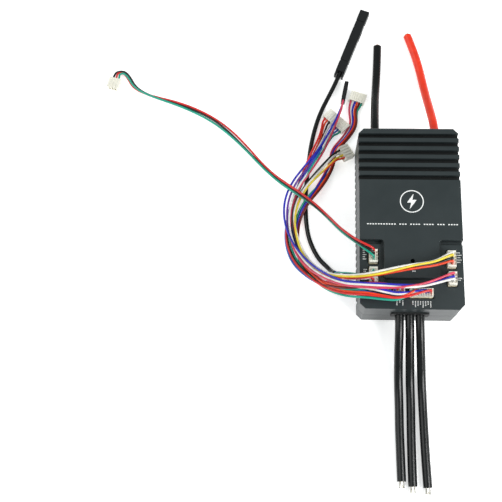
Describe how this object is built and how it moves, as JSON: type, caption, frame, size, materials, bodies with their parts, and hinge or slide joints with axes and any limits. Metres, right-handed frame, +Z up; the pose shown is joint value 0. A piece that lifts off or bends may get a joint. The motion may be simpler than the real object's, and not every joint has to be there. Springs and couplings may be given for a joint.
{
  "type": "electronic speed controller",
  "caption": "Flat black finned motor speed controller with heavy battery and phase leads and small signal leads plugged into its top.",
  "frame": {"origin": "centre of the case's flat underside", "axes": "+Z up out of the plug face, +Y towards the two battery leads, +X towards the side with two separate plugs"},
  "size_m": [0.2333, 0.3263, 0.0459],
  "materials": {
    "case_black": "satin",
    "board_green": "satin",
    "package_black": "satin",
    "capacitor_sleeve": "glossy",
    "bare_copper": "polished",
    "tinned_metal": "polished",
    "steel_screw": "polished",
    "header_cream": "satin",
    "plug_white": "satin",
    "housing_black": "satin",
    "rubber_black": "matte",
    "silicone_black": "satin",
    "silicone_red": "satin",
    "signal_wires": "satin",
    "thermal_grey": "matte",
    "light_green": "glossy"
  },
  "bodies": {
    "case": {"auxiliary_end_housing": "plug_white", "auxiliary_header": "header_cream", "auxiliary_lead": "signal_wires", "base_heatsink": "case_black", "battery_grommets": "rubber_black", "battery_lead_negative": "silicone_black", "battery_lead_positive": "silicone_red", "battery_lugs": "bare_copper", "board_link": "package_black", "board_spacers": "tinned_metal", "can_end_housing": "plug_white", "can_header": "header_cream", "can_lead": "signal_wires", "capacitors": "capacitor_sleeve", "case_gasket": "rubber_black", "case_screws": "steel_screw", "control_board": "board_green", "control_board_screws": "steel_screw", "control_chips": "package_black", "current_shunts": "tinned_metal", "data_end_housing": "plug_white", "data_header": "header_cream", "data_lead": "signal_wires", "header_pins": "tinned_metal", "mosfets": "package_black", "phase_end_a": "tinned_metal", "phase_end_b": "tinned_metal", "phase_end_c": "tinned_metal", "phase_grommet": "rubber_black", "phase_lead_a": "silicone_black", "phase_lead_b": "silicone_black", "phase_lead_c": "silicone_black", "phase_lugs": "bare_copper", "power_board": "board_green", "power_board_screws": "steel_screw", "receiver_end_housing": "housing_black", "receiver_header": "header_cream", "receiver_lead": "signal_wires", "sensor_cable": "silicone_black", "sensor_end_body": "housing_black", "sensor_end_cap": "housing_black", "sensor_header": "header_cream", "sensor_plug": "plug_white", "sensor_wires": "signal_wires", "status_lights": "light_green", "switch_end_housing": "plug_white", "switch_header": "header_cream", "switch_lead": "signal_wires", "thermal_pad": "thermal_grey", "top_cover": "case_black"},
    "switch_plug_group": {"switch_plug": "plug_white", "switch_lead_bend": "signal_wires"},
    "can_plug_group": {"can_plug": "plug_white", "can_lead_bend": "signal_wires"},
    "receiver_plug_group": {"receiver_plug": "plug_white", "receiver_lead_bend": "signal_wires"},
    "data_plug_group": {"data_plug": "plug_white", "data_lead_bend": "signal_wires"},
    "auxiliary_plug_group": {"auxiliary_plug": "plug_white", "auxiliary_lead_bend": "signal_wires"}
  },
  "joints": [
    {"name": "switch_plug_slide", "type": "slide", "parent": "case", "child": "switch_plug_group", "axis": [0, 0, 1], "range_m": [0, 0.006]},
    {"name": "can_plug_slide", "type": "slide", "parent": "case", "child": "can_plug_group", "axis": [0, 0, 1], "range_m": [0, 0.006]},
    {"name": "receiver_plug_slide", "type": "slide", "parent": "case", "child": "receiver_plug_group", "axis": [0, 0, 1], "range_m": [0, 0.006]},
    {"name": "data_plug_slide", "type": "slide", "parent": "case", "child": "data_plug_group", "axis": [0, 0, 1], "range_m": [0, 0.006]},
    {"name": "auxiliary_plug_slide", "type": "slide", "parent": "case", "child": "auxiliary_plug_group", "axis": [0, 0, 1], "range_m": [0, 0.006]}
  ]
}
